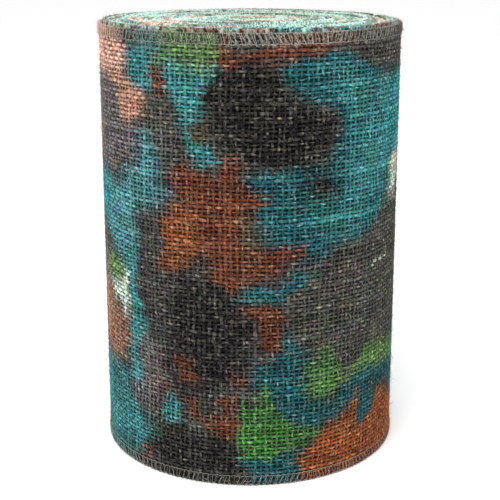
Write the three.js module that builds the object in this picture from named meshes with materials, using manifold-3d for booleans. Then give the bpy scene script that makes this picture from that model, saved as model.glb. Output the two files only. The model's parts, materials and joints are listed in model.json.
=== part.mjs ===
// A roll of open-weave burlap ribbon, standing on end.
//
// The roll is one long strip of plain-weave cloth, wound anticlockwise on nothing but itself, so it has
// a small open eye and no core. Both long edges are overlocked: looper threads wrap over the raw edge,
// and a needle thread runs along the foot of the stitches. The strip is cut into three stretches here:
// the inner winding, the outer turn that goes once round it, and the loose tail, which lifts off the roll.
//
// Millimetres, +Z up. The origin is at the centre of the footprint, on the surface that the roll stands on.
//
// A place along the strip is given by `back`: the angle, in radians, back from the strip's free end.

import * as THREE from 'three';
import { mergeVertices } from 'three/addons/utils/BufferGeometryUtils.js';
import Module from 'manifold-3d';

const TURN = 2 * Math.PI;

// The strip and the roll.
const STRIP_WIDTH = 228.6; // nine inches, over both overlocked edges
const ROLL_DIAMETER = 160;
const WIND_PITCH = 2.2; // growth in radius per turn, set by the overlocked edges
const EYE_RADIUS = 3; // where the strip begins, at the middle of the roll
const CLOTH_THICKNESS = 0.9;

// The overlocked edges.
const STITCH_DEPTH = 6; // from the edge of the strip to the foot of the stitches
const LOOPER_WALL = 0.3; // looper thread on each face of the cloth
const LOOPER_CAP = 0.8; // looper thread over the raw edge
const NEEDLE_RAISE = 0.4; // needle thread, proud of the cloth
const NEEDLE_HEIGHT = 0.7;
const CLEARANCE = 0.3; // between pieces that touch on the real roll

// The free end.
const FREE_END_ANGLE = THREE.MathUtils.degToRad(115); // from +X, at the back of the roll
const TAIL_ARC = THREE.MathUtils.degToRad(40);
const TAIL_FLOOR_GAP = 0.5; // the tail's lower edge swings clear of the surface below

// How finely the curves are cut into flat facets.
const WINDING_STEP = TURN / 16;
const OUTER_STEP = TURN / 48;

// The half thickness of the strip at an edge, over the looper threads, and out to the needle thread.
const CLOTH_HALF = CLOTH_THICKNESS / 2;
const LOOPER_INSIDE = CLOTH_HALF + CLEARANCE;
const LOOPER_OUTSIDE = LOOPER_INSIDE + LOOPER_WALL;
const NEEDLE_OUTSIDE = LOOPER_INSIDE + NEEDLE_RAISE;

// The roll's width is measured a quarter turn at a time, and each quarter turn grows by a quarter of
// the pitch, so the eye sits that far off the middle of the footprint on both axes.
const EYE_OFFSET = -WIND_PITCH / 4;
const QUARTERS_TO_FRONT = 0.25 + FREE_END_ANGLE / TURN;
const END_RADIUS = ROLL_DIAMETER / 2 + WIND_PITCH * QUARTERS_TO_FRONT - NEEDLE_OUTSIDE;
const GAP_ANGLE = CLEARANCE / END_RADIUS;

// Where each stretch of the strip begins and ends.
const STRETCHES = {
  tail: { from: 0, to: TAIL_ARC, step: OUTER_STEP },
  outer_turn: { from: TAIL_ARC + GAP_ANGLE, to: TURN, step: OUTER_STEP },
  winding: {
    from: TURN + GAP_ANGLE,
    to: ((END_RADIUS - EYE_RADIUS) / WIND_PITCH) * TURN,
    step: WINDING_STEP,
  },
};

// The heights of the strip's parts above the surface.
const FOOT_HEIGHT = STITCH_DEPTH - NEEDLE_HEIGHT;
const CLOTH_EDGE = LOOPER_CAP + CLEARANCE;

const wasm = await Module();
wasm.setup();

const burlap = { color: 0x3f4a4a, roughness: 0.95, metalness: 0 };
const looperThread = { color: 0xb9b8a6, roughness: 0.8, metalness: 0 };
const needleThread = { color: 0xa7a591, roughness: 0.8, metalness: 0 };

/** The radius of the strip's middle surface at a place along it. */
function radiusAt(back) {
  return END_RADIUS - (WIND_PITCH * back) / TURN;
}

/** A point in plan, a given distance outside the strip's middle surface. */
function planPoint(back, offset) {
  const angle = FREE_END_ANGLE - back;
  const radius = radiusAt(back) + offset;
  return new THREE.Vector2(EYE_OFFSET + radius * Math.cos(angle), EYE_OFFSET + radius * Math.sin(angle));
}

/** The places where a stretch's facets meet: whole steps from the free end, and the stretch's own ends. */
function stations({ from, to, step }) {
  const places = [from];
  const shortest = step / 4;
  for (let count = Math.ceil(from / step); count * step < to - shortest; count += 1) {
    if (count * step > from + shortest) {
      places.push(count * step);
    }
  }
  places.push(to);
  return places;
}

/** The plan of a stretch, between two distances from the strip's middle surface. */
function stretchPlan(stretch, inner, outer) {
  const places = stations(stretch);
  const outside = places.map((back) => planPoint(back, outer));
  const inside = places.map((back) => planPoint(back, inner)).reverse();
  return new THREE.Shape([...outside, ...inside]);
}

/** A wall that follows a stretch of the strip, from one height to another. */
function wall(stretch, inner, outer, low, high) {
  const options = { depth: high - low, bevelEnabled: false };
  const geometry = new THREE.ExtrudeGeometry(stretchPlan(stretch, inner, outer), options);
  return geometry.translate(0, 0, low);
}

/** The same solid as a closed mesh that can be cut and joined. */
function toSolid(geometry) {
  const bare = geometry.clone();
  bare.deleteAttribute('normal');
  bare.deleteAttribute('uv');
  const merged = mergeVertices(bare, 1e-4);
  return new wasm.Manifold(
    new wasm.Mesh({
      numProp: 3,
      vertProperties: new Float32Array(merged.attributes.position.array),
      triVerts: new Uint32Array(merged.index.array),
    }),
  );
}

/** A cut or joined solid as a geometry. */
function toGeometry(solid) {
  const mesh = solid.getMesh();
  const geometry = new THREE.BufferGeometry();
  geometry.setAttribute('position', new THREE.BufferAttribute(mesh.vertProperties, 3));
  geometry.setIndex(new THREE.BufferAttribute(mesh.triVerts, 1));
  geometry.computeVertexNormals();
  return geometry;
}

/** Looper threads folded over an edge: a channel that holds the cloth's edge, open towards its middle. */
function looperChannel(stretch, low, high, hollowLow, hollowHigh) {
  const outside = toSolid(wall(stretch, -LOOPER_OUTSIDE, LOOPER_OUTSIDE, low, high));
  const past = { ...stretch, from: stretch.from - GAP_ANGLE, to: stretch.to + GAP_ANGLE };
  const hollow = toSolid(wall(past, -LOOPER_INSIDE, LOOPER_INSIDE, hollowLow, hollowHigh));
  return toGeometry(outside.subtract(hollow));
}

/** One named piece. */
function piece(name, geometry, look) {
  const mesh = new THREE.Mesh(geometry, new THREE.MeshStandardMaterial(look));
  mesh.name = name;
  return mesh;
}

/** The cloth of a stretch, inside its overlocked edges. */
function cloth(name, stretch, floor) {
  const top = STRIP_WIDTH - CLOTH_EDGE;
  return piece(name, wall(stretch, -CLOTH_HALF, CLOTH_HALF, floor + CLOTH_EDGE, top), burlap);
}

/** The threads along both edges of a stretch whose faces can be seen. */
function overlockedEdges(label, stretch, floor) {
  const top = STRIP_WIDTH;
  const cap = LOOPER_CAP;
  const reach = STITCH_DEPTH - CLEARANCE - NEEDLE_HEIGHT;
  const upper = looperChannel(stretch, top - reach, top, top - STITCH_DEPTH, top - cap);
  const lower = looperChannel(stretch, floor, floor + reach, floor + cap, floor + STITCH_DEPTH);
  const needle = (low) => wall(stretch, LOOPER_INSIDE, NEEDLE_OUTSIDE, low, low + NEEDLE_HEIGHT);
  return [
    piece(`top_looper_thread_${label}`, upper, looperThread),
    piece(`bottom_looper_thread_${label}`, lower, looperThread),
    piece(`top_needle_thread_${label}`, needle(top - STITCH_DEPTH), needleThread),
    piece(`bottom_needle_thread_${label}`, needle(floor + FOOT_HEIGHT), needleThread),
  ];
}

/** The looper threads over the edges of the inner winding, where only the edge itself shows. */
function windingEdges(stretch) {
  const bead = (low) => wall(stretch, -CLOTH_HALF, CLOTH_HALF, low, low + LOOPER_CAP);
  return [
    piece('top_looper_thread_winding', bead(STRIP_WIDTH - LOOPER_CAP), looperThread),
    piece('bottom_looper_thread_winding', bead(0), looperThread),
  ];
}

const roll = new THREE.Group();
roll.add(cloth('burlap_winding', STRETCHES.winding, 0));
roll.add(...windingEdges(STRETCHES.winding));
roll.add(cloth('burlap_outer_turn', STRETCHES.outer_turn, 0));
roll.add(...overlockedEdges('outer_turn', STRETCHES.outer_turn, 0));

const tail = new THREE.Group();
tail.add(cloth('burlap_tail', STRETCHES.tail, TAIL_FLOOR_GAP));
tail.add(...overlockedEdges('tail', STRETCHES.tail, TAIL_FLOOR_GAP));

const group = new THREE.Group();
group.add(roll, tail);

export default group;
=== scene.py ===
import json
import math

import bpy
import numpy as np
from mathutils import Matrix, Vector


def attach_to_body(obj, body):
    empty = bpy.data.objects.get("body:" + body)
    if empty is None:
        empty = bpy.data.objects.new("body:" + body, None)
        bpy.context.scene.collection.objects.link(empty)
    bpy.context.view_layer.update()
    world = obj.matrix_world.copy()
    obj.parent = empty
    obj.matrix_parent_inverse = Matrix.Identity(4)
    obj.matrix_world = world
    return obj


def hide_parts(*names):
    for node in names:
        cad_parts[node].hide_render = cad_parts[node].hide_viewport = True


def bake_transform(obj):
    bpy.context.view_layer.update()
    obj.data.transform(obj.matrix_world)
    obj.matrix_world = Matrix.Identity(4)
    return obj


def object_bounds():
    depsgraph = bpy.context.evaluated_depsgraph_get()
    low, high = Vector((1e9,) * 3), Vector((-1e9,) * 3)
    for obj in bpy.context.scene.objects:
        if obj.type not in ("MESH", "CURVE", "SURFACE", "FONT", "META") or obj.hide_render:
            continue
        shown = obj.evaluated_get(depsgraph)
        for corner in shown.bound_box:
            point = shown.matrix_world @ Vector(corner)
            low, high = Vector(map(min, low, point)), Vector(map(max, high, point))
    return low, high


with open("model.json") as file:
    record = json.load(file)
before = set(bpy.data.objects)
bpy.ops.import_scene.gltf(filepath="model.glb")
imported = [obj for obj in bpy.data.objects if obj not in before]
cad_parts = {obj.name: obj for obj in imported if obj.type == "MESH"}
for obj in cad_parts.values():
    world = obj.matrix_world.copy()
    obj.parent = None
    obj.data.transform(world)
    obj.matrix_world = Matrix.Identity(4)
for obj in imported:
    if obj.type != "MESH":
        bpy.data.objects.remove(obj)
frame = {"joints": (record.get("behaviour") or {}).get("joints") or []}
cad_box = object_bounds()

MM = 0.001
TURN = 2 * math.pi
random = np.random.default_rng(7)

# The roll, as the frame gives it: a spiral that grows by the pitch each turn, about an eye that lies a
# quarter pitch off the middle. The tail's hinge is on the roll's outer face.
WIND_PITCH = 2.2 * MM
FACE_OUTSIDE = 1.15 * MM
FREE_END = math.radians(115)
EYE_RADIUS = 3 * MM
EYE = Vector((-WIND_PITCH / 4, -WIND_PITCH / 4))
HEIGHT = cad_box[1][2] - cad_box[0][2]
hinge = Vector(frame["joints"][0]["pos_m"])
HINGE_BACK = FREE_END - math.atan2(hinge.y - EYE.y, hinge.x - EYE.x)
END_RADIUS = (hinge.xy - EYE).length - FACE_OUTSIDE + WIND_PITCH * HINGE_BACK / TURN
EYE_BACK = (END_RADIUS - EYE_RADIUS) / WIND_PITCH * TURN
BENEATH_TAIL_BACK = TURN + HINGE_BACK + math.radians(5)

# The weave. Upright yarns cross the ribbon, and long yarns run around the roll.
TAIL_YARNS = 20
LONG_SPACING = 2.2 * MM
UPRIGHT_HALF_WIDTH = 0.74 * MM
LONG_HALF_WIDTH = 0.64 * MM
YARN_HALF_THICKNESS = 0.33 * MM
CRIMP = 0.34 * MM
YARN_SIDES = 8
SECTORS = 8

# The overlocked edges.
STITCH_PITCH = 2.8 * MM
STITCH_DEPTH = 5.4 * MM
STITCH_INSET = 0.35 * MM
MAX_LEAN = 3 * MM
THREAD_RADIUS = 0.105 * MM
INNER_THREAD_RADIUS = 0.3 * MM
THREAD_SIDES = 4
HEM_DEPTH = 8 * MM
HEM_HALF = 0.72 * MM

# The cloth behind the outer yarns, and the cloth of the inner turns.
BACKING_INSIDE = -1.05 * MM
BACKING_OUTSIDE = -0.82 * MM
WOUND_HALF = 0.25 * MM


def strip_length(back):
    """The length of strip from the free end to an angle back from it."""
    return END_RADIUS * back - WIND_PITCH * back**2 / (2 * TURN)


def back_at(length):
    """The angle back from the free end at a length along the strip."""
    return (END_RADIUS - np.sqrt(END_RADIUS**2 - 2 * WIND_PITCH * length / TURN)) * TURN / WIND_PITCH


UPRIGHT_SPACING = strip_length(HINGE_BACK) / TAIL_YARNS
UPRIGHT_YARNS = int(strip_length(BENEATH_TAIL_BACK) / UPRIGHT_SPACING)
LONG_YARNS = int((HEIGHT - 1.2 * MM) / LONG_SPACING)
WOVEN_LENGTH = UPRIGHT_YARNS * UPRIGHT_SPACING
HINGE_LENGTH = TAIL_YARNS * UPRIGHT_SPACING
STRIP_END = strip_length(EYE_BACK)


def flat_places(length, height, out):
    """Places on the flat strip, as one array."""
    return np.stack(np.broadcast_arrays(length, height, out), axis=-1)


def wind(places):
    """Places on the flat strip, wound into the roll."""
    places = np.asarray(places, float)
    back = back_at(places[..., 0])
    radius = END_RADIUS - WIND_PITCH * back / TURN + places[..., 2]
    angle = FREE_END - back
    x = EYE.x + radius * np.cos(angle)
    y = EYE.y + radius * np.sin(angle)
    return np.stack([x, y, places[..., 1]], axis=-1)


# -------- noise


def lattice_value(ix, iy, seed):
    """A fixed random value from -1 to 1 at each whole-number place."""
    mixed = np.sin(ix * 127.1 + iy * 311.7 + seed * 74.7) * 43758.5453
    return 2 * (mixed - np.floor(mixed)) - 1


def smooth_noise(x, y, seed):
    """Smooth noise from -1 to 1, with features about one unit across."""
    ix, iy = np.floor(x), np.floor(y)
    fx, fy = x - ix, y - iy
    fx, fy = fx * fx * (3 - 2 * fx), fy * fy * (3 - 2 * fy)
    low = lattice_value(ix, iy, seed) * (1 - fx) + lattice_value(ix + 1, iy, seed) * fx
    high = lattice_value(ix, iy + 1, seed) * (1 - fx) + lattice_value(ix + 1, iy + 1, seed) * fx
    return low * (1 - fy) + high * fy


def patches(x, y, size, seed):
    """Smooth noise from -1 to 1 over the strip, in patches of a size in millimetres."""
    return smooth_noise(x / (size * MM), y / (size * MM), seed)


def ripple(length, size, seed):
    """Smooth noise from -1 to 1 along the strip only."""
    return smooth_noise(length / (size * MM), 0 * length, seed)


def smooth_step(low, high, value):
    """0 at low and past it, 1 at high and past it, and a smooth change between."""
    t = np.clip((value - low) / (high - low), 0, 1)
    return t * t * (3 - 2 * t)


def unit(vectors):
    """The same directions, each one unit long."""
    return vectors / np.linalg.norm(vectors, axis=-1, keepdims=True)


def mix(a, b, share):
    """Between a and b. A share has one value for each place, and a colour three."""
    share = np.asarray(share, float)[..., None]
    return np.asarray(a) * (1 - share) + np.asarray(b) * share


# -------- the print


def from_screen(*levels):
    """A colour given in screen levels, 0 to 255, as the shaders want it."""
    c = np.array(levels, float) / 255
    return np.where(c <= 0.04045, c / 12.92, ((c + 0.055) / 1.055) ** 2.4)


# In the blots toward the roll's sides, mauve, aqua, mist, salmon, coral and peach carry painted haze of
# light as well as the print.
DYES = {name: from_screen(*levels) for name, levels in {
    "charcoal": (50, 48, 47),
    "dark": (14, 13, 14),
    "smoke": (59, 59, 54),
    "mauve": (90, 85, 87),
    "teal": (46, 114, 116),
    "mist": (70, 128, 134),
    "deep_teal": (12, 75, 79),
    "aqua": (34, 127, 129),
    "rust": (84, 42, 23),
    "orange": (113, 61, 32),
    "amber": (130, 69, 30),
    "salmon": (137, 99, 79),
    "coral": (156, 114, 93),
    "peach": (194, 152, 133),
    "green": (53, 101, 45),
    "lime": (80, 114, 62),
    "fern": (62, 104, 52),
    "olive": (60, 54, 38),
    "cream": (186, 200, 184),
    "mint": (158, 206, 190),
}.items()}
UNDYED = from_screen(150, 138, 118)
# Pale worn fibre, also the pale tint of the painted glints.
WORN_FIBRE_AND_GLINT = from_screen(188, 182, 166)
PALE_THREAD = from_screen(214, 212, 198)

# The print's blots, in the order they were laid down. Each has a dye, how far its edge bleeds, and an
# outline of (degrees from the front, percent of the ribbon's width) points.
# Toward the far left and right the blots use paler dyes: partly the print, partly painted haze of light
# over the roll's sides.
BLOTS = [
    ("mauve", 6, [(-88, 67), (-88, 90), (-60, 89), (-53, 81), (-42, 79), (-46, 73), (-60, 68)]),
    ("mauve", 5, [(-88, 49), (-70, 48), (-58, 43), (-70, 39), (-88, 41)]),
    ("mauve", 6, [(-50, 17), (-49, 28), (-44, 33), (-36, 28), (-30, 20), (-40, 15)]),
    ("smoke", 5, [
        (13, 29), (17, 50), (28, 53), (48, 56), (60, 59), (88, 64), (88, 25), (60, 28), (45, 26),
        (38, 23), (34, 29),
    ]),
    ("smoke", 4, [(44, 99), (48, 94), (56, 91), (66, 88.5), (88, 89), (88, 102), (50, 102)]),
    ("smoke", 4, [(-30, 73), (-44, 79), (-44, 86), (-30, 86), (-24, 79)]),
    ("dark", 4, [(-28, 22), (-31, 34), (-24, 48), (-10, 48), (-1, 44), (0, 34), (-3, 26), (-12, 21)]),
    ("dark", 4, [(-34, 2), (-44, 8), (-30, 13), (-18, 10), (-6, 13), (-2, 6), (-6, 0), (-25, 0)]),
    ("deep_teal", 2.5, [
        (1, 70), (6, 71.5), (27, 72), (34, 78), (34, 83), (17, 86), (14, 90), (10, 93), (22, 95.2),
        (38, 95.2), (50, 91.2), (62, 88.8), (74, 90), (88, 90), (88, 73), (71, 71.5), (64, 65),
        (58, 58.5), (42, 55), (30, 53), (20, 51), (13, 53.5), (7, 57), (2, 60), (5, 65),
    ]),
    ("teal", 7, [
        (30, 56), (44, 58), (58, 62), (66, 73), (88, 75), (88, 88), (66, 87), (48, 90), (34, 93),
        (24, 92), (34, 87), (42, 80), (36, 70), (24, 60),
    ]),
    ("aqua", 7, [(60, 76), (68, 87), (88, 88), (88, 76), (72, 73)]),
    ("dark", 4, [(21, 65), (23, 70.5), (31, 70), (34, 66), (28, 63.5)]),
    ("teal", 2.5, [
        (-31, 90), (-29, 95.5), (-20, 93), (-11, 94), (-12, 90.5), (-16, 88), (-17, 84), (-23, 80),
        (-27, 81), (-26, 86),
    ]),
    ("teal", 3, [(-51, 95.5), (-38, 97.5), (-30, 95.5), (-36, 92), (-38, 88.5), (-44, 87), (-49, 90)]),
    ("teal", 2, [(-24, 74.5), (-25, 79), (-20, 78.5), (-13, 76.5), (-12, 73), (-16, 71.2), (-20, 74)]),
    ("aqua", 6, [(-88, 57), (-88, 66), (-66, 66.5), (-56, 62), (-62, 55)]),
    ("mist", 5, [
        (-66, 54), (-64, 64), (-54, 67), (-45, 70), (-43, 76.5), (-39, 77.5), (-31, 66), (-40, 63.5),
        (-47, 60), (-48, 52), (-52, 48), (-60, 49),
    ]),
    ("teal", 2.5, [
        (-57, 49), (-47, 53), (-46, 42), (-40, 35), (-45, 30), (-45, 20), (-53, 20), (-50, 30), (-51, 42),
    ]),
    ("teal", 5, [
        (-88, 22), (-60, 23), (-52, 20), (-50, 16), (-43, 13), (-40, 9), (-46, 4), (-55, 2), (-88, 1),
    ]),
    ("teal", 2, [(-34, 15.5), (-31, 20), (-27, 19), (-27, 14), (-31, 13)]),
    ("deep_teal", 1.5, [
        (-4, 44), (0, 45.8), (10, 46), (18, 48.8), (25, 49.2), (22, 46.5), (15, 45.2), (13, 42), (4, 43),
    ]),
    ("deep_teal", 2.5, [
        (1, 24), (3, 30), (9, 29), (14, 34.5), (21, 32), (23, 28), (19, 24), (24, 19), (33, 19),
        (40, 21.5), (50, 23.5), (62, 23.5), (75, 21.5), (88, 20), (88, 13), (70, 17), (58, 18.5),
        (44, 17.5), (36, 16), (28, 12.5), (17, 12.5), (10, 16), (8, 20),
    ]),
    ("deep_teal", 2, [(-3, 6), (5, 7.5), (12, 7), (20, 8), (21, 5), (14, 1.5), (0, 1)]),
    ("dark", 3, [
        (-17, 86), (-14, 93), (-4, 93.5), (8, 93), (13, 90), (15, 86.5), (24, 83.5), (34, 80), (30, 76),
        (24, 72.2), (10, 71.5), (2, 72.5), (-6, 75), (-12, 80),
    ]),
    ("dark", 5, [(-10, 84), (-8, 90), (6, 90), (12, 85), (24, 80), (20, 74), (4, 75)]),
    ("lime", 4, [(-34, 95.5), (-27, 99), (-13, 99), (-10, 95.5), (-18, 92.5), (-24, 93)]),
    ("green", 2, [
        (-4, 10), (-5, 14), (-2, 18), (4, 19), (3, 23), (6, 24), (8, 20), (13, 15), (20, 13), (28, 12.5),
        (24, 10), (14, 7.8), (4, 6), (-2, 7),
    ]),
    ("fern", 2.5, [(21, 22), (22, 28), (27, 30), (34, 29), (36, 25), (34, 20.5), (27, 19.5)]),
    ("lime", 3, [
        (34, 22.5), (46, 26.2), (49, 28.5), (62, 28.5), (72, 26), (88, 25), (88, 22.5), (70, 23.2),
        (58, 24), (48, 23),
    ]),
    ("lime", 3, [(-71, 44), (-66, 47.8), (-57, 48.2), (-56, 45.5), (-62, 43)]),
    ("rust", 1.5, [
        (-14, 94), (-10, 97.8), (-4, 95.5), (8, 96.5), (20, 98.5), (42, 99.5), (42, 97.5), (22, 95.7),
        (8, 93.8), (-8, 93.2),
    ]),
    ("rust", 1.6, [
        (-35, 50), (-30, 55), (-33, 58), (-32, 60.5), (-27, 62), (-23, 64), (-28, 69), (-24, 72.2),
        (-18, 72), (-14, 70), (-9, 69), (-9, 72), (-6, 74.8), (-3, 73.5), (-2, 69), (3, 66.5), (9, 64.5),
        (3, 62), (1, 58), (5, 55), (12, 54), (21, 55), (22, 52.5), (14, 51), (10, 48.2), (-4, 46.3),
        (-12, 47.2), (-14, 50), (-17, 53.5), (-21, 51), (-26, 48.8),
    ]),
    ("orange", 3, [
        (-36, 50), (-30, 54.5), (-33, 59), (-27, 63), (-20, 62), (-17, 57), (-21, 52), (-28, 49),
    ]),
    ("olive", 3, [(-2, 62), (2, 60), (6, 56), (0, 54.5), (-3, 58)]),
    ("rust", 1.6, [(-4, 41), (5, 42), (13, 41), (14, 37), (11, 31), (7, 30.5), (4, 36)]),
    ("peach", 3.5, [
        (-88, 92), (-88, 98), (-64, 98.5), (-53, 97.5), (-51, 93), (-50, 89), (-43, 87), (-42, 84.5),
        (-46, 81.2), (-54, 81.5), (-57, 87), (-62, 89.5),
    ]),
    ("coral", 3, [(-60, 89), (-50, 89), (-43, 87), (-42, 84.5), (-46, 81.2), (-54, 81.5), (-57, 86)]),
    ("rust", 2.5, [(-39, 92), (-36, 95.5), (-33, 92), (-30, 88.5), (-33, 87), (-38, 90)]),
    ("salmon", 5, [
        (-88, 41), (-70, 42), (-62, 37.5), (-53, 34), (-51, 30), (-57, 26.5), (-64, 24), (-74, 25),
        (-88, 24),
    ]),
    ("rust", 2, [(-27, 28), (-23, 29.7), (-20, 25), (-24, 24)]),
    ("rust", 3, [(-36, 20), (-33, 24), (-30, 21)]),
    ("rust", 2, [(-7, 24), (-5, 26.2), (-2, 25), (-4, 23)]),
    ("rust", 1.8, [
        (-26, 20.5), (-22, 20.5), (-18, 17), (-13, 14), (-8, 18), (-12, 20), (-4, 20.5), (-4, 14),
        (-8, 11.2), (-14, 11.2), (-19, 15),
    ]),
    ("rust", 2, [(-48, 3.5), (-43, 5.8), (-38, 4), (-44, 1.8)]),
    ("amber", 2, [
        (20, 2), (17, 5), (24, 9), (30, 12.5), (38, 15), (44, 18.8), (46, 13), (50, 10), (57, 13),
        (59, 16.8), (66, 15.5), (73, 12.5), (88, 11), (88, 0), (60, 2), (40, 1),
    ]),
    ("deep_teal", 2, [(45, 14), (48, 19), (56, 17.8), (55, 12), (48, 10)]),
    ("olive", 2, [(-23, 79), (-19, 81.2), (-13, 80), (-16, 76.8), (-21, 77)]),
    ("cream", 2.5, [(-66, 42), (-60, 43.2), (-52, 44.5), (-52, 39), (-54, 35.5), (-58, 38)]),
    ("cream", 3, [(64, 61), (67, 66), (66, 69), (78, 72), (78, 66), (72, 62)]),
    ("cream", 0.7, [(51, 47.35), (64, 47.45), (64, 47.75), (51, 47.65)]),
]
EDGE_BLEED = 1.6  # millimetres, for a bleed of 1
PRINT_MARGIN = 6 * MM  # beneath the stitches, the print of the cloth beside them runs on
FRONT_SPAN = 88  # degrees, as far round as the photograph shows
SPILL = 8  # degrees, how far a blot that leaves the photograph runs on, more or less
BEHIND_WIDTH = 0.92  # the blots behind are a little narrower
FRONT_BACK = math.degrees(FREE_END) + 90  # degrees back from the free end to the front
PER_DEGREE = math.radians(1) * END_RADIUS
REPEAT = 336 * PER_DEGREE  # the print's length before it repeats


def inside_outline(x, y, corners):
    """How far each place is inside an outline, below zero outside it."""
    nearest = np.full(x.shape, np.inf)
    crossings = np.zeros(x.shape, bool)
    for (ax, ay), (bx, by) in zip(corners, corners[1:] + corners[:1]):
        ex, ey = bx - ax, by - ay
        along = np.clip(((x - ax) * ex + (y - ay) * ey) / (ex * ex + ey * ey), 0, 1)
        nearest = np.minimum(nearest, np.hypot(x - ax - along * ex, y - ay - along * ey))
        if ey:
            crossings ^= ((ay > y) != (by > y)) & (x < ax + (y - ay) / ey * ex)
    return np.where(crossings, nearest, -nearest)


def placed_blots():
    """Each blot's dye, bleed and outline in metres: as printed at the front, and turned over behind."""
    placed = []
    for number, (colouring, bleed, outline) in enumerate(BLOTS):
        front = []
        for angle, percent in outline:
            share = percent / 100
            # A blot that runs out of the photograph's view ends somewhere beyond it.
            spill = SPILL + SPILL * lattice_value(number, share, 4) if abs(angle) == FRONT_SPAN else 0
            front.append(((angle + math.copysign(spill, angle)) * PER_DEGREE, share * HEIGHT))
        behind = [(REPEAT / 2 - x * BEHIND_WIDTH, HEIGHT - y) for x, y in front]
        placed += [(colouring, EDGE_BLEED * bleed * MM, front), (colouring, EDGE_BLEED * bleed * MM, behind)]
    return placed


def print_at(length, height):
    """The printed colour at places on the strip."""
    length, height = np.broadcast_arrays(length, height)
    x = PER_DEGREE * (FRONT_BACK - np.degrees(back_at(length)))
    y = np.clip(height, PRINT_MARGIN, HEIGHT - PRINT_MARGIN)
    # Broad blots at the front, and the same turned over behind. The warp makes every edge ragged.
    wx, wy = x.copy(), y.copy()
    for reach, size, seed in ((2.6, 9, 1), (1.4, 3, 2), (1.3, 1.1, 3)):
        wx += reach * MM * patches(x, y, size, seed)
        wy += reach * MM * patches(x, y, size, seed + 10)
    clouds = patches(x, y, 22, 5)
    colour = mix(DYES["charcoal"], DYES["smoke"], smooth_step(0.1, 0.8, clouds))
    for colouring, bleed, outline in placed_blots():
        # The print repeats round the roll, so each place meets the nearest copy of the blot.
        middle = np.mean([corner[0] for corner in outline])
        nearest = (wx - middle + REPEAT / 2) % REPEAT - REPEAT / 2 + middle
        depth = inside_outline(nearest, wy, outline)
        colour = mix(colour, DYES[colouring], smooth_step(-bleed, bleed, depth) * 0.96)
    beyond = smooth_step(WOVEN_LENGTH, WOVEN_LENGTH + 20 * MM, length)
    if beyond.any():
        colour = mix(colour, cloudy_print(length, y), beyond)
    # No dye is even: it lies thicker and thinner, and each of its colours on its own.
    thickness = 1 + 0.22 * patches(x, y, 8, 6) + 0.2 * patches(x, y, 2, 7)
    mottle = [thickness + 0.14 * patches(x, y, 5, seed) + 0.06 * patches(x, y, 1.6, seed + 5)
              for seed in (26, 27, 28)]
    return colour * np.stack(mottle, axis=-1)


# Clouds of dye on the inner turns, in the order they are laid: (dye, the noise where it starts, and where
# it is full, how many clouds to 40 mm of strip, seed).
INNER_CLOUDS = [
    ("mint", -0.35, 0.1, 1, 91), ("charcoal", 0.35, 0.5, 1.3, 92), ("rust", 0.4, 0.5, 1, 93),
    ("peach", 0.5, 0.65, 0.9, 94), ("green", 0.55, 0.65, 1, 95),
]
FIRST_CLOUDS = [("rust", 0, 0.2, 3, 97), ("fern", 0.2, 0.4, 3.5, 98), ("teal", 0.1, 0.3, 2.5, 99)]


def clouded(colour, clouds, length, height):
    """A colour with clouds of other dyes over it."""
    x, y = length / (40 * MM), height / (24 * MM)
    for colouring, start, full, closeness, seed in clouds:
        colour = mix(colour, DYES[colouring], smooth_step(start, full, smooth_noise(closeness * x, y, seed)))
    return colour


def cloudy_print(length, height):
    """The print of the inner turns, in the same dyes, where only the edges can be seen."""
    # The first turns are as dark as the face, and the dyes grow paler inwards.
    face = clouded(DYES["mauve"], FIRST_CLOUDS, length, height)
    inner = clouded(DYES["teal"], INNER_CLOUDS, length, height)
    colour = mix(face * 1.2, inner, smooth_step(WOVEN_LENGTH + 0.4, WOVEN_LENGTH + 1.0, length))
    speck = 0.6 * smooth_noise(length / (5 * MM), height / (1.1 * MM), 96)
    speck = speck + 0.55 * smooth_noise(length / (1.6 * MM), height / (1.3 * MM), 100)
    colour = mix(colour, DYES["mint"] * 1.2, 0.5 * smooth_step(0.0, 0.5, speck))
    colour = mix(colour, DYES["orange"] * 2, 0.8 * smooth_step(STRIP_END - 0.2, STRIP_END - 0.1, length))
    return mix(colour, DYES["dark"], 0.7 * smooth_step(-0.2, -0.6, speck))


# -------- mesh helpers


def add_object(name, data):
    """A new object in the scene."""
    made = bpy.data.objects.new(name, data)
    bpy.context.scene.collection.objects.link(made)
    return made


def mesh_piece(name, points, faces, material, colours, grain, atlas):
    """A named mesh of quads. colours are for each point; grain and atlas for each corner of each face."""
    mesh = bpy.data.meshes.new(name)
    points, faces = points.reshape(-1, 3), faces.reshape(-1, 4)
    corners = points[faces]
    normals = np.cross(corners[:, 2] - corners[:, 0], corners[:, 3] - corners[:, 1])
    if (corners.mean(axis=1) * normals).sum() < 0:
        faces, grain, atlas = faces[:, ::-1], grain[:, ::-1], atlas[:, ::-1]
    mesh.vertices.add(len(points))
    mesh.vertices.foreach_set("co", points.astype(np.float32).ravel())
    mesh.loops.add(faces.size)
    mesh.loops.foreach_set("vertex_index", faces.astype(np.int32).ravel())
    mesh.polygons.add(len(faces))
    mesh.polygons.foreach_set("loop_start", np.arange(0, faces.size, 4, dtype=np.int32))
    mesh.polygons.foreach_set("use_smooth", np.ones(len(faces), bool))
    for layer, values in (("grain", grain), ("OFBake", atlas)):
        uv = mesh.uv_layers.new(name=layer)
        uv.data.foreach_set("uv", values.astype(np.float32).ravel())
    # The colouring holds each point's colour: print, wear and fibre, with painted shade and painted
    # highlights.
    attribute = mesh.color_attributes.new(name="colouring", type="FLOAT_COLOR", domain="POINT")
    rgba = np.ones((len(points), 4), np.float32)
    rgba[:, :3] = np.clip(colours.reshape(-1, 3), 0, 1)
    attribute.data.foreach_set("color", rgba.ravel())
    mesh.update(calc_edges=True)
    mesh.materials.append(material)
    return add_object(name, mesh)


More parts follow.
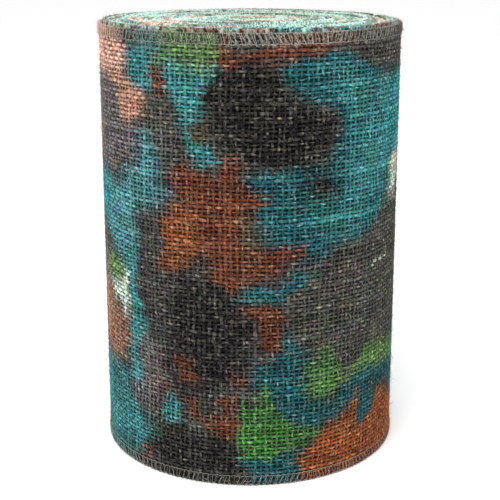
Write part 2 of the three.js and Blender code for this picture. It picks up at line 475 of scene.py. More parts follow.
def around(sides):
    """The angles of a tube's corners about its middle line. The first corner points straight out."""
    return TURN / 4 + np.arange(sides) / sides * TURN


def loop_walls(index):
    """Quads between each closed loop of points and the next. index is (loops, points)."""
    ahead = np.roll(index, -1, axis=1)
    return np.stack([index[:-1], ahead[:-1], ahead[1:], index[1:]], axis=-1).reshape(-1, 4)


def wall_corners(u, v):
    """The (u, v) of the four corners of every quad in a grid, in the walls' own order."""
    grid = np.stack([u, v], axis=-1)
    parts = [grid[..., :-1, :-1, :], grid[..., :-1, 1:, :], grid[..., 1:, 1:, :], grid[..., 1:, :-1, :]]
    return np.stack(parts, axis=-2).reshape(-1, 4, 2)


def one_spot(faces):
    """The bake's places for end faces, which are too small to need one of their own."""
    return np.full((len(faces), 4, 2), 0.001)


class Tubes:
    """Tubes gathered into one mesh: yarns, threads and fibres."""

    def __init__(self):
        self.points, self.faces, self.colours = [], [], []
        self.grain, self.atlas, self.count = [], [], 0

    def add(self, centres, across, outward, half_width, half_thickness, colours, sides, cells):
        """Tubes of equal numbers of rings. centres, across and outward are (tubes, rings, 3), in the flat
        strip's frame; colours are (tubes, rings, 3) or (tubes, rings, sides, 3); cells says where in the
        bake's picture they go: (left, right, rows)."""
        tubes, rings = centres.shape[:2]
        turn = around(sides)
        wide = half_width[..., None, None] * np.cos(turn)[:, None] * across[..., None, :]
        thick = half_thickness[..., None, None] * np.sin(turn)[:, None] * outward[..., None, :]
        flat = centres[..., None, :] + wide + thick
        self.points.append(wind(flat).reshape(-1, 3))
        if colours.ndim == 3:
            colours = np.repeat(colours[:, :, None], sides, axis=2)
        self.colours.append(colours.reshape(-1, 3))
        index = self.count + np.arange(tubes * rings * sides).reshape(tubes, rings, sides)
        self.count += index.size
        ahead = np.roll(index, -1, axis=2)
        walls = np.stack([index[:, :-1], ahead[:, :-1], ahead[:, 1:], index[:, 1:]], axis=-1)
        steps = np.linalg.norm(np.diff(centres, axis=1), axis=-1)
        along = np.concatenate([np.zeros((tubes, 1)), np.cumsum(steps, axis=1)], axis=1)
        u = np.broadcast_to(np.arange(sides + 1) / sides, (tubes, rings, sides + 1))
        v = np.broadcast_to(along[..., None], (tubes, rings, sides + 1))
        self.faces.append(walls.reshape(-1, 4))
        self.grain.append(wall_corners(u + np.arange(tubes)[:, None, None] * 3.7, v / MM))
        self.atlas.append(wall_corners(*self._cell(u, v / along[:, -1:, None], tubes, cells)))
        self._cap(index[:, 0, ::-1])
        self._cap(index[:, -1])

    def _cell(self, u, v, tubes, cells):
        """Each tube's own place in the bake's picture, with a margin round it."""
        left, right, rows = cells
        columns = math.ceil(tubes / rows)
        column = (np.arange(tubes) % columns)[:, None, None]
        row = (np.arange(tubes) // columns)[:, None, None]
        across = left + (right - left) * (column + 0.08 + 0.84 * u) / columns
        return across, (row + 0.02 + 0.96 * v) / rows

    def _cap(self, ring):
        """Closes one end of every tube with quads."""
        for k in range(0, ring.shape[1] - 2, 2):
            caps = ring[:, [0, k + 1, k + 2, k + 3 if k + 3 < ring.shape[1] else 0]]
            self.faces.append(caps)
            self.grain.append(np.zeros((len(caps), 4, 2)))
            self.atlas.append(one_spot(caps))

    def piece(self, name, material):
        """The finished mesh object."""
        gathered = (self.points, self.faces, self.colours, self.grain, self.atlas)
        points, faces, colours, grain, atlas = (np.concatenate(part) for part in gathered)
        return mesh_piece(name, points, faces, material, colours, grain, atlas)


def add_thread(tubes, path, reference, radius, colours, cells):
    """A round thread along each path, (threads, points, 3). reference is never along the path."""
    tangent = unit(np.gradient(path, axis=1))
    reference = np.broadcast_to(np.array(reference, float), path.shape)
    across = unit(reference - (reference * tangent).sum(-1, keepdims=True) * tangent)
    outward = np.cross(tangent, across)
    radius = np.broadcast_to(radius, path.shape[:2])
    tubes.add(path, across, outward, radius, radius, colours, THREAD_SIDES, cells)


ALONG = np.array([1.0, 0.0, 0.0])
UP = np.array([0.0, 1.0, 0.0])
OUT = np.array([0.0, 0.0, 1.0])

# -------- materials


def new_material(name):
    """A fresh node material with its Principled shader."""
    material = bpy.data.materials.new(name)
    material.use_nodes = True
    shader = material.node_tree.nodes["Principled BSDF"]
    return material, material.node_tree, shader


def node(tree, kind, **settings):
    """A new node, with its properties and its unlinked inputs set."""
    made = tree.nodes.new(kind)
    for key, value in settings.items():
        if hasattr(made, key):
            setattr(made, key, value)
        else:
            made.inputs[key.replace("_", " ")].default_value = value
    return made


def fibre_streaks(tree, stretch, detail):
    """Streaks along a yarn, leaning with its twist, from 0 to 1."""
    uv = node(tree, "ShaderNodeUVMap", uv_map="grain")
    lean = node(tree, "ShaderNodeMapping", Scale=stretch, Rotation=(0, 0, math.radians(20)))
    noise = node(tree, "ShaderNodeTexNoise", Scale=1.0, Detail=detail, Roughness=0.65)
    tree.links.new(uv.outputs["UV"], lean.inputs["Vector"])
    tree.links.new(lean.outputs["Vector"], noise.inputs["Vector"])
    return noise.outputs["Fac"]


def coloured_fibre(name, streak_stretch, streak_low, streak_high, roughness, sheen, bump):
    """Cloth or thread: the colouring of each point, with its painted shade and highlights, streaked by its
    fibres.
    """
    material, tree, shader = new_material(name)
    colouring = node(tree, "ShaderNodeAttribute", attribute_name="colouring")
    streaks = fibre_streaks(tree, streak_stretch, 3.0)
    spread = {"From_Min": 0.3, "From_Max": 0.7, "To_Min": streak_low, "To_Max": streak_high}
    tone = node(tree, "ShaderNodeMapRange", **spread)
    scaled = node(tree, "ShaderNodeVectorMath", operation="SCALE")
    tree.links.new(streaks, tone.inputs["Value"])
    tree.links.new(colouring.outputs["Color"], scaled.inputs[0])
    tree.links.new(tone.outputs["Result"], scaled.inputs["Scale"])
    tree.links.new(scaled.outputs["Vector"], shader.inputs["Base Color"])
    relief = node(tree, "ShaderNodeBump", Strength=bump, Distance=0.12 * MM)
    tree.links.new(streaks, relief.inputs["Height"])
    tree.links.new(relief.outputs["Normal"], shader.inputs["Normal"])
    shader.inputs["Roughness"].default_value = roughness
    shader.inputs["Specular IOR Level"].default_value = 0.1
    shader.inputs["Sheen Weight"].default_value = sheen
    shader.inputs["Sheen Roughness"].default_value = 0.5
    return material


yarn_look = coloured_fibre("burlap_yarn", (9, 0.9, 1), 0.4, 1.7, 0.95, 0.02, 1.0)
cloth_look = coloured_fibre("burlap_cloth", (0.5, 0.5, 1), 0.7, 1.25, 0.95, 0.05, 0.5)
# The cloth behind is streaked from very dark to light: painted shade seen through the holes, darker in some
# holes than others.
behind_look = coloured_fibre("burlap_behind", (0.45, 0.45, 1), 0.1, 3.2, 0.95, 0.02, 0.8)
thread_look = coloured_fibre("overlock_thread", (6, 3, 1), 0.86, 1.1, 0.75, 0.15, 0.5)
fibre_look = coloured_fibre("loose_fibre", (3, 1.5, 1), 0.9, 1.1, 0.85, 0.2, 0.1)

# -------- the camera, the floor and the light

# The camera, worked out from the photograph's perspective.
ROLL_DIAMETER = 160 * MM
CAMERA_DISTANCE = 3.8 * ROLL_DIAMETER
CAMERA_HEIGHT = 1.199 * HEIGHT
CAMERA_DOWN = 14.03  # degrees below level
CAMERA_LENS = 81.83  # millimetres
CAMERA_SHIFT = -0.07


def add_camera():
    """The camera at the photograph's viewing angle."""
    data = bpy.data.cameras.new("camera")
    data.sensor_width = 36
    data.lens = CAMERA_LENS
    data.shift_y = CAMERA_SHIFT
    data.dof.use_dof = False
    camera = add_object("camera", data)
    camera.location = (0, -CAMERA_DISTANCE, cad_box[0][2] + CAMERA_HEIGHT)
    camera.rotation_euler = (math.radians(90 - CAMERA_DOWN), 0, 0)
    bpy.context.scene.camera = camera


def add_floor():
    """A plain pale floor that runs past the view."""
    reach = 40
    mesh = bpy.data.meshes.new("floor")
    corners = [(-reach, -reach, 0), (reach, -reach, 0), (reach, reach, 0), (-reach, reach, 0)]
    mesh.from_pydata(corners, [], [(0, 1, 2, 3)])
    material, _, shader = new_material("floor")
    shader.inputs["Base Color"].default_value = (0.97, 0.97, 0.97, 1)
    shader.inputs["Roughness"].default_value = 0.7
    mesh.materials.append(material)
    floor = add_object("floor", mesh)
    floor.location.z = -0.05 * MM


def add_light():
    """A white room, and one big soft lamp high at the front left."""
    world = bpy.data.worlds.new("studio")
    world.use_nodes = True
    background = world.node_tree.nodes["Background"]
    background.inputs["Color"].default_value = (1, 1, 1, 1)
    background.inputs["Strength"].default_value = 1.0
    bpy.context.scene.world = world
    bpy.context.scene.view_settings.view_transform = "Standard"
    data = bpy.data.lights.new("softbox", "AREA")
    data.shape = "DISK"
    data.size = 1.5
    data.energy = 22
    lamp = add_object("softbox", data)
    lamp.location = (-0.3, -0.95, 1.25)
    aim = Vector((0, 0, HEIGHT / 2)) - lamp.location
    lamp.rotation_euler = aim.to_track_quat("-Z", "Y").to_euler()


# -------- the weave


def interleave(at_crossings):
    """Values at the crossings with their middles between: (..., n) becomes (..., 2n - 1)."""
    middles = (at_crossings[..., :-1] + at_crossings[..., 1:]) / 2
    both = np.empty(at_crossings.shape[:-1] + (2 * at_crossings.shape[-1] - 1,))
    both[..., ::2] = at_crossings
    both[..., 1::2] = middles
    return both


def crossing_places():
    """Where each upright yarn crosses each long yarn: length and height, (upright, long)."""
    upright = np.arange(UPRIGHT_YARNS)[:, None]
    long = np.arange(LONG_YARNS)[None, :]
    length = (upright + 0.5) * UPRIGHT_SPACING
    height = (HEIGHT - LONG_YARNS * LONG_SPACING) / 2 + (long + 0.5) * LONG_SPACING
    length, height = np.broadcast_arrays(length, height)
    inset = smooth_step(0, 12 * MM, height) * smooth_step(0, 12 * MM, HEIGHT - height)
    # Neighbours drift together, each yarn wanders by itself, and each crossing is a little off its place.
    drift = 0.6 * MM * smooth_noise(length / (30 * MM), height / (24 * MM), 11)
    own = 0.45 * MM * smooth_noise(upright * 7.3 + 0 * long, height / (7 * MM), 12)
    jitter = 0.28 * MM * random.standard_normal(length.shape)
    moved_length = length + drift + own + jitter
    drift = 0.6 * MM * smooth_noise(length / (34 * MM), height / (22 * MM), 13)
    own = 0.28 * MM * smooth_noise(length / (8 * MM), long * 5.1 + 0 * upright, 14)
    jitter = 0.2 * MM * random.standard_normal(length.shape)
    return moved_length, height + (drift + own) * inset + jitter * inset


def yarn_girth(yarns, rings, ring_spacing, seed):
    """How thick each yarn is at each ring, against its nominal size: uneven, with some slubs."""
    own = 1 + 0.16 * random.standard_normal((yarns, 1))
    along = np.arange(rings)[None, :] * ring_spacing
    wavy = 0.2 * smooth_noise(along / (9 * MM), np.arange(yarns)[:, None] * 9.7, seed)
    fine = 0.18 * smooth_noise(along / (2.5 * MM), np.arange(yarns)[:, None] * 5.3, seed + 1)
    slub_places = smooth_noise(along / (14 * MM), np.arange(yarns)[:, None] * 3.1, seed + 2)
    slubs = 0.4 * smooth_step(0.78, 1, slub_places)
    return np.clip(own + wavy + fine + slubs, 0.55, 1.6)


def yarn_colours(length, height, proud, tone_and_light):
    """Colours for (yarns, rings, sides): print, worn pale fibre on the crowns, undyed at the back, with
    painted shade and highlights.
    """
    from_edge = np.minimum(height, HEIGHT - height)
    # Painted shade: the yarns are painted up to half as dark beneath the stitches, where the looper thread
    # shades them.
    stitch_shade = smooth_step(7 * MM, 4 * MM, from_edge)
    base_colour = print_at(length, height) * (tone_and_light * (1 - 0.5 * stitch_shade))[..., None]
    base_colour = base_colour * (1 + 0.07 * random.standard_normal(base_colour.shape))
    worn_fibre = mix(WORN_FIBRE_AND_GLINT, base_colour * 2.2, np.full(proud.shape, 0.6))
    worn = 0.4 * random.random(proud.shape) ** 3
    # Painted shade where each yarn dives under another (0.7 of its colour), painted highlight on its crowns
    # (1.25), some crowns also worn pale.
    crimp_shaded = mix(base_colour * 0.7, mix(base_colour * 1.25, worn_fibre, worn), (proud + 1) / 2)
    facing = np.broadcast_to(np.sin(around(YARN_SIDES)), crimp_shaded.shape[:2] + (YARN_SIDES,))
    # Painted glints: single fibres are painted as if they catch the light, with a pale tint added, and
    # stand out most where the dye is dark.
    glints = random.random(facing.shape) ** 8
    gain = 2.3 / (1 + 5 * base_colour.mean(axis=-1, keepdims=True))
    # Painted light round each yarn: lighter along its outward side, darker at its sides and back, plus the
    # painted glints.
    ridge_light = 0.48 + 0.35 * np.clip(facing, 0, 1) ** 2 + gain * glints
    lit = crimp_shaded[:, :, None] * ridge_light[..., None] + 0.065 * WORN_FIBRE_AND_GLINT * glints[..., None]
    undyed = UNDYED * (0.2 + 1.6 * crimp_shaded.mean(axis=-1, keepdims=True))
    return mix(lit, undyed[:, :, None], 0.6 * np.clip(-facing, 0, 1) ** 2)


def soaked(shape):
    """How far the dye has crept along each yarn, past the blot's edge."""
    return 1.1 * MM * random.standard_normal((shape[0], 1)) + 0.7 * MM * random.standard_normal(shape)


class Weave:
    """Every yarn of the woven stretch, on the flat strip, ready to be cut into sectors."""

    def __init__(self):
        length, height = crossing_places()
        upright, long = np.indices(length.shape)
        over = np.where((upright + long) % 2 == 0, 1.0, -1.0)
        self.upright = self._upright(length, height, over)
        self.long = self._long(length, height, -over)

    def _upright(self, length, height, over):
        centre = flat_places(interleave(length), interleave(height), CRIMP * interleave(over))
        first, last = centre[:, :1].copy(), centre[:, -1:].copy()
        first[..., 1], last[..., 1] = 0.5 * MM, HEIGHT - 0.5 * MM
        first[..., 2], last[..., 2] = 0, 0
        centre = np.concatenate([first, centre, last], axis=1)
        girth = yarn_girth(*centre.shape[:2], LONG_SPACING / 2, 21)
        tone = 1 + 0.1 * random.standard_normal((UPRIGHT_YARNS, 1)) + 0.5 * (girth - 1)
        height = np.clip(centre[..., 1] + soaked(girth.shape), 0, HEIGHT)
        # The upright yarns are painted at 0.8 of their tone against 1.15 for the long yarns: painted shade
        # here, painted highlight on the long yarns.
        colours = yarn_colours(centre[..., 0], height, centre[..., 2] / CRIMP, 0.8 * tone)
        return centre, UPRIGHT_HALF_WIDTH * girth, YARN_HALF_THICKNESS * np.sqrt(girth), colours

    def _long(self, length, height, over):
        centre = flat_places(interleave(length.T), interleave(height.T), CRIMP * interleave(over.T))
        girth = yarn_girth(*centre.shape[:2], UPRIGHT_SPACING / 2, 31)
        tone = 1 + 0.1 * random.standard_normal((LONG_YARNS, 1)) + 0.5 * (girth - 1)
        # The long yarns' ends at the raw cut stick out past the last upright yarn, and thin away.
        stub = centre[:, :1].copy()
        stub[..., 0] -= random.uniform(0.6, 3.2, (LONG_YARNS, 1)) * MM
        stub[..., 1] += random.uniform(-0.5, 0.5, (LONG_YARNS, 1)) * MM
        stub[..., 2] = random.uniform(-0.3, 0.5, (LONG_YARNS, 1)) * MM
        stub[..., 0] = np.maximum(stub[..., 0], -1.6 * MM)
        centre = np.concatenate([stub, centre], axis=1)
        girth = np.concatenate([girth[:, :1] * 0.55, girth], axis=1)
        tone = np.concatenate([tone[:, :1], tone], axis=1)
        length = np.maximum(centre[..., 0] + soaked(girth.shape), 0)
        # Painted highlight: the long yarns are painted at 1.15 of their tone, for the light on their upper
        # sides.
        colours = yarn_colours(length, centre[..., 1], centre[..., 2] / CRIMP, 1.15 * tone)
        return centre, LONG_HALF_WIDTH * girth, YARN_HALF_THICKNESS * np.sqrt(girth), colours

    def sector(self, name, first, last):
        """The yarns from one upright yarn up to another, as one piece."""
        tubes = Tubes()
        upright = [part[first:last] for part in self.upright]
        # The first ring of a long yarn is its stub, so ring 2n + 1 is its crossing with upright yarn n.
        long = [part[:, 2 * first:2 * last + 1] for part in self.long]
        for yarns, across, cells in ((upright, ALONG, (0, 0.4, 1)), (long, UP, (0.4, 1, 4))):
            centre, wide, thick, colours = yarns
            across, outward = np.broadcast_to(across, centre.shape), np.broadcast_to(OUT, centre.shape)
            tubes.add(centre, across, outward, wide, thick, colours, YARN_SIDES, cells)
        return tubes.piece(name, yarn_look)


# -------- cloth behind the yarns


def cloth_solid(name, lengths, heights, inside, outside, shade, look):
    """A thin closed solid of cloth over the flat strip, in rows of quads. heights are (lengths, rows)."""
    columns, rows = heights.shape
    inner, outer = (flat_places(lengths[:, None], heights, depth) for depth in (inside, outside))
    # One loop for each column: up the outer face and down the inner one.
    loop = np.concatenate([outer, inner[:, ::-1]], axis=1)
    # The print is darkened by shade: painted shade for cloth lying under the yarns or turns over it.
    colours = print_at(loop[..., 0], np.clip(loop[..., 1], 0, HEIGHT)) * shade
    index = np.arange(columns * 2 * rows).reshape(columns, 2 * rows)
    ends = []
    for column in (index[0, ::-1], index[-1]):
        for row in range(rows - 1):
            ends.append([column[row], column[row + 1], column[-2 - row], column[-1 - row]])
    faces = np.concatenate([loop_walls(index), np.array(ends)])
    along, around_it = np.arange(columns) / (columns - 1), np.arange(2 * rows + 1) / (2 * rows)
    u, v = np.meshgrid(along, around_it, indexing="ij")
    atlas = np.concatenate([wall_corners(u, v), one_spot(ends)])
    flat = loop.reshape(-1, 3)[faces]
    grain = flat[..., :2] / MM
    return mesh_piece(name, wind(loop), faces, look, colours, grain, atlas)


# Where the turns have slid past each other: (from this turn, to that turn, millimetres upwards).
SLIPS = [(BENEATH_TAIL_BACK / TURN, 1.45, 1.9), (3.2, 3.9, -1.1), (5.6, 6.3, 1.3), (9.2, 10.2, -0.9),
         (15, 18, 0.8), (21, 24, -0.7), (29, 31, 1.0)]


def rise(length):
    """How far a place on the strip stands above its place on a level roll."""
    back = back_at(length)
    turn = back / TURN
    front = math.radians(FRONT_BACK)
    proud = sum(upwards * smooth_step(low, high, turn) for low, high, upwards in SLIPS)
    proud += 0.6 * smooth_noise(0.9 * turn, 0 * turn, 42) * smooth_step(1.6, 2.4, turn)
    # The turns stand proudest at the front.
    lean = 0.74 + 0.26 * np.cos(back - front)
    wavy = 0.35 * smooth_noise(length / (60 * MM), turn, 41) * smooth_step(1.15, 1.6, turn)
    return (proud * lean + wavy) * MM


def near_edge(length, depth, top):
    """The height of a place that lies a depth in from the top or the bottom edge."""
    return rise(length) + (HEIGHT - depth if top else depth)


# -------- the overlocked edges


def thread_colours(length, height):
    """Pale thread, tinted by the print that it was dyed with, which missed it in places, and paler over the
    front of the roll.
    """
    base_colour = print_at(length, np.clip(height, 0, HEIGHT))
    degrees = FRONT_BACK - np.degrees(back_at(length))
    # The palest stitches are on the top edge, from just left of the middle to well right of it.
    front = smooth_step(-14, -6, degrees) * smooth_step(44, 34, degrees) * (height > HEIGHT / 2)
    # Paler over the front of the roll, on both edges.
    facing = smooth_step(-80, -50, degrees) * smooth_step(80, 50, degrees)
    spots = smooth_step(-0.1, 0.4, ripple(length, 30, 44))
    inside = smooth_step(WOVEN_LENGTH - 20 * MM, WOVEN_LENGTH, length)
    pale_share = np.max([0.5 * front, 0.26 * facing, 0.14 * spots, 0.26 * inside], axis=0)
    return mix(base_colour * (1.3 + 0.6 * inside)[..., None], PALE_THREAD, 0.03 + pale_share)


def stitched(start, end, steps, top):
    """Looper thread over an edge, as (1, points, 3). steps are a stitch's points: share of the pitch,
    distance in from the edge, and distance outside the cloth, in millimetres."""
    steps = np.array(steps)
    stitches = int((end - start) / STITCH_PITCH)
    count = np.arange(stitches)
    length = start + (count[:, None] + steps[None, :, 0]) * STITCH_PITCH
    wobble = random.uniform(-1, 1, (stitches, len(steps)))
    length = length + 0.34 * MM * wobble
    lean = smooth_noise(length / (22 * MM) - 1, 0 * length, 53) + random.normal(0, 0.3, (stitches, 1))
    length = length + MAX_LEAN * lean * steps[None, :, 1] * MM / STITCH_DEPTH
    depth = steps[None, :, 1] * (1 + 0.08 * random.standard_normal((stitches, 1)))
    depth = depth + 0.12 * random.uniform(-1, 1, depth.shape)
    out = steps[None, :, 2] * (1 + 0.05 * random.standard_normal((stitches, 1)))
    length, depth, out = length.ravel(), depth.ravel() * MM, np.broadcast_to(out, wobble.shape).ravel() * MM
    return flat_places(length, near_edge(length, depth + STITCH_INSET, top), out)[None]


FULL_STITCH = [
    (0.00, 5.4, 0.80), (0.06, 3.7, 1.00), (0.12, 1.9, 1.02), (0.18, 0.5, 0.92), (0.26, -0.1, 0.40),
    (0.34, -0.1, -0.40), (0.42, 0.8, -0.92), (0.64, 0.8, -0.92), (0.72, -0.1, -0.40), (0.80, -0.1, 0.40),
    (0.85, 0.6, 0.92), (0.91, 2.4, 1.02), (0.96, 4.2, 0.98),
]
INNER_STITCH = [
    (0.00, 1.7, 0.72), (0.20, 0.5, 0.80), (0.34, -0.15, 0.10), (0.50, 0.6, -0.80), (0.66, -0.12, 0.0),
    (0.82, 0.5, 0.78),
]


def add_stitches(tubes, start, end, steps, top, cells, uneven=0.6):
    """Looper thread over one long edge. uneven is how far its tone changes from stitch to stitch."""
    path = stitched(start, end, steps, top)
    length, height = path[..., 0], path[..., 1]
    tone = 1 + uneven * patches(length, height, 0.8, 51)
    # The dye crept along the thread, so its colours don't meet the cloth's exactly.
    tinted_at = length + 1.5 * MM * patches(length, height, 0.7, 52)
    colours = thread_colours(tinted_at, height) * tone[..., None]
    inwards = smooth_step(WOVEN_LENGTH + 0.3, WOVEN_LENGTH + 1.1, length)
    radius = THREAD_RADIUS + (INNER_THREAD_RADIUS - THREAD_RADIUS) * inwards
    add_thread(tubes, path, ALONG, radius, colours, cells)


def add_needle_line(tubes, start, end, top, cells):
    """The needle thread along the foot of the stitches, dipping into the cloth at each one."""
    length = np.arange(start, end, STITCH_PITCH / 4)
    phase = length / STITCH_PITCH * TURN
    depth = STITCH_DEPTH + 0.22 * MM * np.sin(phase) + 0.15 * MM * ripple(length, 5, 61)
    out = (0.86 + 0.16 * np.cos(phase)) * MM
    height = near_edge(length, depth, top)
    path = flat_places(length, height, out)[None]
    colours = mix(thread_colours(length, height), PALE_THREAD, np.full(len(length), 0.12))
    add_thread(tubes, path, UP, THREAD_RADIUS * 1.1, colours[None], cells)


def add_rim_line(tubes, start, end, top, cells):
    """The two loopers' crossing over the raw edge, a knotted cord of thread along it."""
    length = np.arange(start, end, STITCH_PITCH / 6)
    phase = length / STITCH_PITCH * TURN
    out = 0.5 * np.sin(phase) * MM + 0.2 * MM * ripple(length, 2, 62)
    depth = 0.3 * MM + 0.2 * MM * np.cos(2 * phase) + 0.2 * MM * ripple(length, 1.4, 64)
    height = near_edge(length, depth, top)
    path = flat_places(length, height, out)[None]
    girth = THREAD_RADIUS * (1.15 + 0.35 * ripple(length, 0.9, 63))
    shade = 0.55 + 0.45 * ripple(length, 1.1, 65)
    colours = thread_colours(length, height) * shade[:, None]
    add_thread(tubes, path, UP, girth[None], colours[None], cells)


def outer_edge(name, start, end, top):
    """All the thread that shows on one long edge of the outer turn or the tail."""
    tubes = Tubes()
    add_stitches(tubes, start, end, FULL_STITCH, top, (0, 0.6, 1))
    add_needle_line(tubes, start, end, top, (0.6, 0.8, 1))
    add_rim_line(tubes, start, end, top, (0.8, 1, 1))
    return tubes.piece(name, thread_look)


def inner_hem(name, start, end, top):
    """The cloth of the inner turns' edges: a rounded, lumpy band in place of yarns too deep to see."""
    length = np.arange(start, end, 0.7 * MM)
    profile = np.array([(-0.9, HEM_DEPTH / MM), (-1.0, 1.2), (-0.75, 0.45), (0.0, 0.25), (0.75, 0.45),
                        (1.0, 1.2), (1.0, 3.0), (0.9, HEM_DEPTH / MM)])
    out = profile[None, :, 0] * HEM_HALF
    depth = np.broadcast_to(profile[None, :, 1] * MM, (len(length), len(profile)))
    lump = 0.13 * MM * smooth_noise(length[:, None] / (1.1 * MM), depth * 900 + out * 900, 71)
    spread = np.sign(out) * lump + out
    height = near_edge(length[:, None], depth, top) + lump * (depth < 2 * MM)
    place = flat_places(length[:, None], height, spread)
    speckle = smooth_noise(length[:, None] / (1.1 * MM), depth * 1100 + out * 700, 72)
    # Painted shade: the hem is painted at about two thirds of the print, for the shade in the gaps between
    # the wraps, with a random speckle over it.
    colours = print_at(place[..., 0], np.clip(height, 0, HEIGHT)) * (0.65 + 0.7 * speckle)[..., None]
    colours = mix(colours, PALE_THREAD, 0.3 * (speckle > 0.35) * (depth < 2 * MM))
    rings, sides = depth.shape
    index = np.arange(rings * sides).reshape(rings, sides)
    walls = loop_walls(index)
    ends = np.array([[ring[0], ring[k], ring[k + 1], ring[k + 2]] for ring in (index[0, ::-1], index[-1])
                     for k in (1, 3, 5)])
    # In the bake's picture the hem is cut into lengths that lie side by side.
    lengths = 40
    along = np.arange(rings - 1) / (rings - 1) * lengths
    number, share = np.floor(along), along % 1
    step = lengths / (rings - 1)
    corner_v = np.stack([share, share, share + step, share + step], axis=-1)
    side = np.arange(sides)
    corner_u = np.stack([side, side + 1, side + 1, side], axis=-1) / sides
    u = (number[:, None, None] + 0.1 + 0.8 * corner_u[None]) / lengths
    v = np.broadcast_to(corner_v[:, None, :], u.shape)
    atlas = np.stack([u, np.clip(v, 0, 1)], axis=-1).reshape(-1, 4, 2)
    grain = place.reshape(-1, 3)[walls][..., :2] / MM
    atlas = np.concatenate([atlas, one_spot(ends)])
    grain = np.concatenate([grain, np.zeros((len(ends), 4, 2))])
    return mesh_piece(name, wind(place), np.concatenate([walls, ends]), cloth_look, colours, grain, atlas)


# -------- loose fibres


def fibre_piece(name, roots, directions, lengths, colours):
    """Fine tapered fibres from places on the flat strip."""
    tubes = Tubes()
    count = len(roots)
    directions = unit(directions)
    bend = random.standard_normal((count, 3)) * 0.35
    share = np.array([0, 0.5, 1.0])
    path = roots[:, None] + lengths[:, None, None] * (
        share[None, :, None] * directions[:, None] + (share**2)[None, :, None] * bend[:, None]
    )
    # No fibre reaches below the surface that the roll stands on.
    path[..., 1] = np.maximum(path[..., 1], 0.1 * MM)
    radius = np.array([0.08, 0.06, 0.015])[None, :] * MM * np.ones((count, 1))
    reference = np.cross(directions, random.standard_normal((count, 3)))
    reference = np.repeat(reference[:, None], 3, axis=1)
    add_thread(tubes, path, reference, radius, np.repeat(colours[:, None], 3, axis=1), (0, 1, 40))
    return tubes.piece(name, fibre_look)


def edge_tufts(name, start, end, count, top):
    """Cut yarn ends and thread fuzz that stand up from an edge."""
    length = random.uniform(start, end, count)
    out = random.uniform(-0.8, 0.8, count) * MM
    height = near_edge(length, 0.5 * MM, top)
    roots = flat_places(length, height, out)
    lean = random.standard_normal((count, 3)) * [0.7, 0.35, 0.5]
    directions = lean + (UP if top else 0.6 * UP) + OUT * (0.2 if top else 1.0)
    directions[:, 1] = np.abs(directions[:, 1])
    lengths = random.uniform(0.5, 1.6, count) * MM
    colours = mix(thread_colours(length, height), PALE_THREAD, random.uniform(0, 0.5, count))
    return fibre_piece(name, roots, directions, lengths, colours)


def face_fuzz(name, start, end, count):
    """Jute fibres that stand off the outer face."""
    length = random.uniform(start, end, count)
    height = random.uniform(4 * MM, HEIGHT - 3 * MM, count)
    roots = flat_places(length, height, 0.65 * MM)
    directions = random.standard_normal((count, 3)) * [1.0, 1.0, 0.22] + OUT * 0.25
    lengths = random.uniform(0.9, 3.0, count) * MM
    # The fibres are painted 1.6 times the print beneath them: partly paler fibre, partly a painted
    # highlight.
    colours = mix(print_at(length, height) * 1.6, PALE_THREAD, 0.14 * random.random(count) ** 3)
    return fibre_piece(name, roots, directions, lengths, colours)


def hem_fuzz(name, start, end, count):
    """Thread fuzz that lies over the stitches of the top edge."""
    length = random.uniform(start, end, count)
    height = HEIGHT - random.uniform(0.5, 6.5, count) * MM
    roots = flat_places(length, height, 0.95 * MM)
    directions = random.standard_normal((count, 3)) * [1.0, 1.0, 0.25] + OUT * 0.3
    lengths = random.uniform(0.8, 2.4, count) * MM
    colours = mix(thread_colours(length, height), PALE_THREAD, random.uniform(0, 0.3, count))
    return fibre_piece(name, roots, directions, lengths, colours)


# -------- the whole


def attach(on_tail, on_roll):
    """Bakes the tail's pieces' placing into their meshes, and puts the roll's pieces on the roll's body."""
    for piece in on_tail:
        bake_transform(piece)
    for piece in on_roll:
        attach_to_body(piece, "roll")


def build_weave():
    """The woven tail, and the outer turn and the stretch beneath the tail in sectors."""
    weave = Weave()
    tail = weave.sector("tail_weave", 0, TAIL_YARNS)
    cuts = np.linspace(TAIL_YARNS, UPRIGHT_YARNS, SECTORS + 1).astype(int)
    sectors = [weave.sector(f"outer_weave_{number}", first, last)
               for number, (first, last) in enumerate(zip(cuts, cuts[1:]), 1)]
    attach([tail], sectors)
    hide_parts("burlap_tail")
    return tail, sectors


def build_cloth():
    """The cloth behind the outer yarns, painted dark for the shade seen through the holes, and the wound
    cloth inside.
    """
    lengths = np.linspace(HINGE_LENGTH, WOVEN_LENGTH, 220)
    rows = np.linspace(0.6 * MM, HEIGHT - 1.0 * MM, 60)
    heights = np.repeat(rows[None, :], len(lengths), axis=0)
    # Painted shade: the cloth behind the yarns is painted at about a quarter of the print's colour.
    outer = cloth_solid("outer_cloth", lengths, heights, BACKING_INSIDE, BACKING_OUTSIDE, 0.26, behind_look)
    turns = np.arange(back_at(WOVEN_LENGTH), EYE_BACK, math.radians(7.5))
    lengths = strip_length(turns)
    lift = rise(lengths)
    heights = np.stack([lift + 1.0 * MM, lift + HEIGHT - 1.0 * MM], axis=1)
    wound = cloth_solid("wound_cloth", lengths, heights, -WOUND_HALF, WOUND_HALF, 0.6, cloth_look)
    attach([], [outer, wound])
    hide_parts("burlap_outer_turn")
    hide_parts("burlap_winding")
    return outer, wound


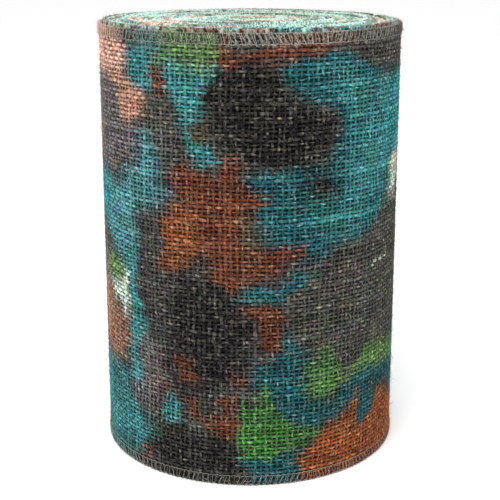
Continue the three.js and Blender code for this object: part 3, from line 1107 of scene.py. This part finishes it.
def build_edges():
    """Overlocking on the tail, the outer turn and the inner turns."""
    on_tail, on_roll, inside = [], [], []
    for side, top in (("top", True), ("bottom", False)):
        tail = outer_edge(f"{side}_overlocking_tail", 0, HINGE_LENGTH, top)
        outer = outer_edge(f"{side}_overlocking_outer", HINGE_LENGTH, WOVEN_LENGTH, top)
        hem = inner_hem(f"{side}_hem_wound", WOVEN_LENGTH, STRIP_END, top)
        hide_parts(f"{side}_looper_thread_tail", f"{side}_needle_thread_tail")
        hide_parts(f"{side}_looper_thread_outer_turn", f"{side}_needle_thread_outer_turn")
        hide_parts(f"{side}_looper_thread_winding")
        on_tail.append(tail)
        on_roll.append(outer)
        inside.append(hem)
    middle = (WOVEN_LENGTH + STRIP_END) / 2
    for number, (start, end) in enumerate(((WOVEN_LENGTH, middle), (middle, STRIP_END)), 1):
        tubes = Tubes()
        add_stitches(tubes, start, end, INNER_STITCH, True, (0, 1, 1), uneven=0.75)
        inside.append(tubes.piece(f"top_overlocking_wound_{number}", thread_look))
    attach(on_tail, on_roll + inside)
    return on_tail, on_roll, inside


def build_fibres():
    """Tufts along the edges, and fuzz on the face and over the stitches."""
    face_end = strip_length(TURN)
    on_tail = [
        edge_tufts("top_tufts_tail", 0, HINGE_LENGTH, 90, True),
        face_fuzz("face_fibres_tail", 0, HINGE_LENGTH, 1000),
        hem_fuzz("top_hem_fibres_tail", 0, HINGE_LENGTH, 220),
    ]
    on_roll = [
        edge_tufts("top_tufts_outer", HINGE_LENGTH, WOVEN_LENGTH, 900, True),
        edge_tufts("bottom_tufts_outer", HINGE_LENGTH, WOVEN_LENGTH, 500, False),
        face_fuzz("face_fibres_outer", HINGE_LENGTH, face_end, 9500),
        hem_fuzz("top_hem_fibres_outer", HINGE_LENGTH, face_end, 1500),
    ]
    inside = [edge_tufts("top_tufts_wound", WOVEN_LENGTH, STRIP_END, 9000, True)]
    attach(on_tail, on_roll + inside)
    return on_tail, on_roll, inside


add_camera()
add_floor()
add_light()
tail_weave, outer_sectors = build_weave()
outer_cloth, wound_cloth = build_cloth()
tail_edges, outer_edges, wound_edges = build_edges()
tail_fibres, outer_fibres, wound_fibres = build_fibres()
